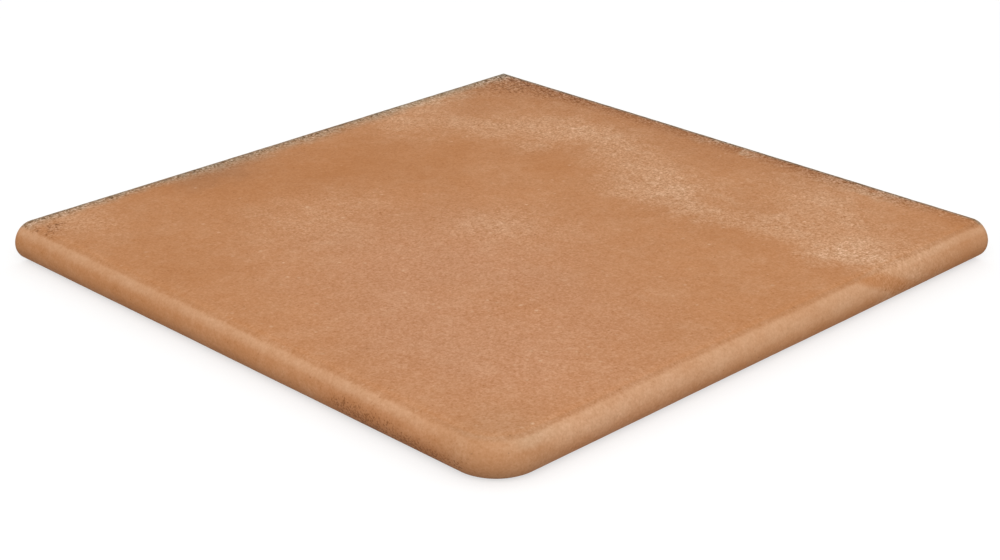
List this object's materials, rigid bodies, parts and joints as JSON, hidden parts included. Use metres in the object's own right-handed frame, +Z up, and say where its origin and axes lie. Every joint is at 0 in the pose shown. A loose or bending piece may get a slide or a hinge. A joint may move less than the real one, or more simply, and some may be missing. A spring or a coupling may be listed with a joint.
{
  "type": "corner step tile",
  "caption": "Square fired-clay stair tread tile for an outside corner, with a half-round nose along adjoining sides, plain butting sides and a keyed bedding face recessed behind the nose.",
  "frame": {"origin": "under the centre of the square, level with the foot of the nose", "axes": "+Z up through the tread; the nosed sides face -Y and +X, the plain sides -X and +Y"},
  "size_m": [0.33, 0.33, 0.0195],
  "materials": {
    "fired_clay": "matt to satin buff terracotta with mottled firing shades, paler along the nose and dark at the edges"
  },
  "bodies": {
    "root": {"corner_step_tile": "fired_clay"}
  },
  "joints": []
}
